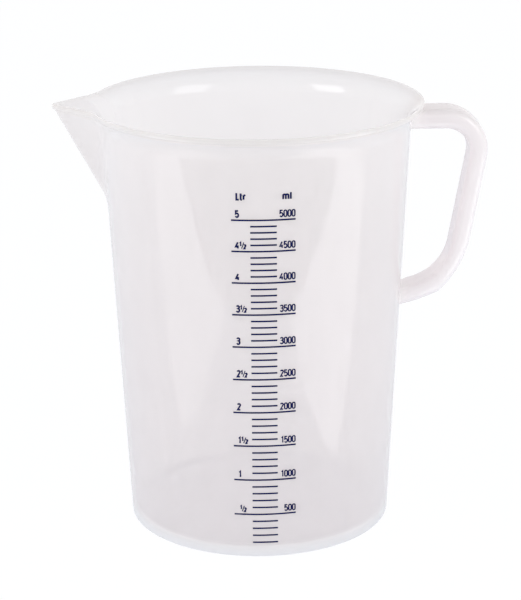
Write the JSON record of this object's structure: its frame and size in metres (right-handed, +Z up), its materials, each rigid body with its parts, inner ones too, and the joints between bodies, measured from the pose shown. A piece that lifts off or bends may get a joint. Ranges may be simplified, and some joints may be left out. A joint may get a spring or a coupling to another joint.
{
  "type": "measuring jug",
  "caption": "Tapered round measuring jug of translucent plastic with a flared rim, a V-shaped pouring spout, a closed loop handle and a printed volume scale.",
  "frame": {"origin": "on the axis of the bowl, in the plane that the foot stands on", "axes": "+Z up along the axis of the bowl, +X towards the handle, -X towards the spout, -Y towards the printed scale"},
  "size_m": [0.2689, 0.2074, 0.27],
  "materials": {
    "moulding": "translucent milky white, smooth with a soft gloss",
    "ink": "printed dark blue ink"
  },
  "bodies": {
    "root": {"body": "moulding", "rim": "moulding", "spout": "moulding", "handle": "moulding", "major_graduations": "ink", "minor_graduations": "ink"}
  },
  "joints": []
}
